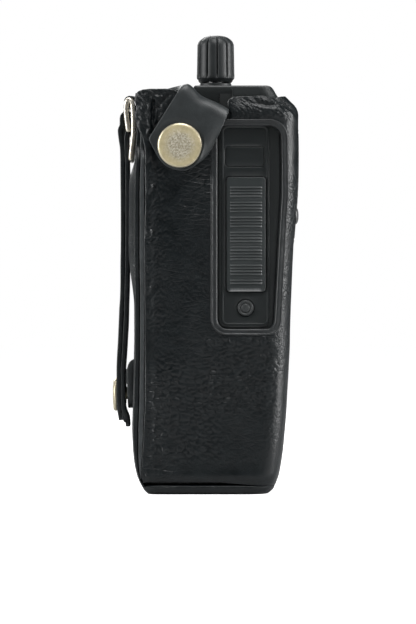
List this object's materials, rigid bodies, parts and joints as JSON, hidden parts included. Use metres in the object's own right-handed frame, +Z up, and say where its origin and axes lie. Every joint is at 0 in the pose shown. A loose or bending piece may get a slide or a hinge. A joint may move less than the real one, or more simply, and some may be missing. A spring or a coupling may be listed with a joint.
{
  "type": "handheld two-way radio in leather case",
  "caption": "Handheld two-way radio in a black leather carrying case with talk bar, knobs, snap retaining strap and belt strap on a hanger ring.",
  "frame": {"origin": "centre of the case's width on the plane it stands on, under the radio's control shafts", "axes": "+Z up; -Y towards the speaker side; +Y towards the belt strap; -X towards the talk bar"},
  "size_m": [0.0827, 0.0644, 0.1606],
  "materials": {
    "case_leather": "semi-gloss black grained leather",
    "lining_leather": "dull black lining leather",
    "strap_leather": "smooth semi-gloss black leather",
    "snap_brass": "aged satin brass",
    "ring_metal": "nickel-plated brass wire",
    "housing_plastic": "matte dark grey-green moulded plastic",
    "talk_bar_rubber": "ribbed dark grey talk bar",
    "button_rubber": "moulded black rubber",
    "knob_plastic": "satin black moulded plastic",
    "shaft_steel": "turned steel",
    "control_metal": "plated control body",
    "switch_plastic": "black switch body",
    "circuit_board": "green solder mask",
    "socket_brass": "turned brass",
    "insulator_white": "white insulating plastic",
    "lens_red": "red indicator lens",
    "speaker_paper": "pressed speaker paper",
    "speaker_fabric": "black woven dust cloth",
    "magnet_iron": "ferrite magnet",
    "cell_metal": "sleeved battery cell"
  },
  "bodies": {
    "case_and_radio": {"case_wrap": "case_leather", "case_back_outer": "case_leather", "case_back_inner": "lining_leather", "case_bottom": "case_leather", "window_binding": "case_leather", "speaker_opening_binding": "case_leather", "strap_root": "strap_leather", "strap_snap_stud": "snap_brass", "belt_snap_stud": "snap_brass", "belt_anchor_tab": "strap_leather", "ring_keeper": "strap_leather", "case_rivets": "snap_brass", "front_housing": "housing_plastic", "rear_housing": "housing_plastic", "top_panel": "housing_plastic", "side_bezel": "housing_plastic", "blank_cover": "housing_plastic", "ptt_switch": "switch_plastic", "side_switch": "switch_plastic", "switch_board": "circuit_board", "volume_control": "control_metal", "volume_collar": "knob_plastic", "channel_switch": "control_metal", "channel_collar": "knob_plastic", "antenna_socket": "socket_brass", "antenna_insulator": "insulator_white", "antenna_contact": "socket_brass", "indicator_lens": "lens_red", "speaker_frame": "shaft_steel", "speaker_cone": "speaker_paper", "speaker_magnet": "magnet_iron", "speaker_cloth": "speaker_fabric", "microphone": "control_metal", "main_board": "circuit_board", "shield_can": "shaft_steel", "housing_screws": "shaft_steel", "battery_case": "housing_plastic", "battery_lid": "housing_plastic", "battery_cells": "cell_metal", "battery_contacts": "socket_brass"},
    "talk_bar": {"ptt_bar": "talk_bar_rubber"},
    "side_button": {"side_button": "button_rubber"},
    "volume": {"volume_knob": "knob_plastic", "volume_shaft": "shaft_steel"},
    "channel": {"channel_knob": "knob_plastic", "channel_shaft": "shaft_steel"},
    "retaining_flap": {"strap_flap": "strap_leather", "strap_snap_cap": "snap_brass", "strap_snap_socket": "snap_brass"},
    "hanger_ring": {"belt_ring": "ring_metal"},
    "belt_strap": {"belt_strap_outer": "strap_leather", "belt_strap_inner": "strap_leather", "belt_snap_cap": "snap_brass", "belt_snap_socket": "snap_brass"}
  },
  "joints": [
    {"name": "talk_bar_press", "type": "slide", "parent": "case_and_radio", "child": "talk_bar", "axis": [1, 0, 0], "range_m": [0, 0.0012], "stiffness_N_per_m": 900, "springref_m": -0.001},
    {"name": "side_button_press", "type": "slide", "parent": "case_and_radio", "child": "side_button", "axis": [1, 0, 0], "range_m": [0, 0.0008], "stiffness_N_per_m": 600, "springref_m": -0.001},
    {"name": "volume_turn", "type": "hinge", "parent": "case_and_radio", "child": "volume", "pos_m": [-0.004, 0.0001, 0.15], "axis": [0, 0, 1], "range_deg": [-150, 150]},
    {"name": "channel_turn", "type": "hinge", "parent": "case_and_radio", "child": "channel", "pos_m": [0.014, 0.0001, 0.15], "axis": [0, 0, 1], "range_deg": [-150, 150]},
    {"name": "retaining_flap_open", "type": "hinge", "parent": "case_and_radio", "child": "retaining_flap", "pos_m": [-0.03945, 0.0042, 0.1362], "axis": [0, 0.866, 0.5], "range_deg": [0, 130]},
    {"name": "hanger_ring_swing", "type": "hinge", "parent": "case_and_radio", "child": "hanger_ring", "pos_m": [0, 0.0303, 0.1372], "axis": [1, 0, 0], "range_deg": [0, 30]},
    {"name": "belt_strap_swing", "type": "hinge", "parent": "hanger_ring", "child": "belt_strap", "pos_m": [0, 0.0313, 0.1313], "axis": [1, 0, 0], "range_deg": [0, 70]}
  ],
  "couplings": [
    {"joint": "hanger_ring_swing", "follows": "belt_strap_swing", "ratio": 0.4}
  ]
}
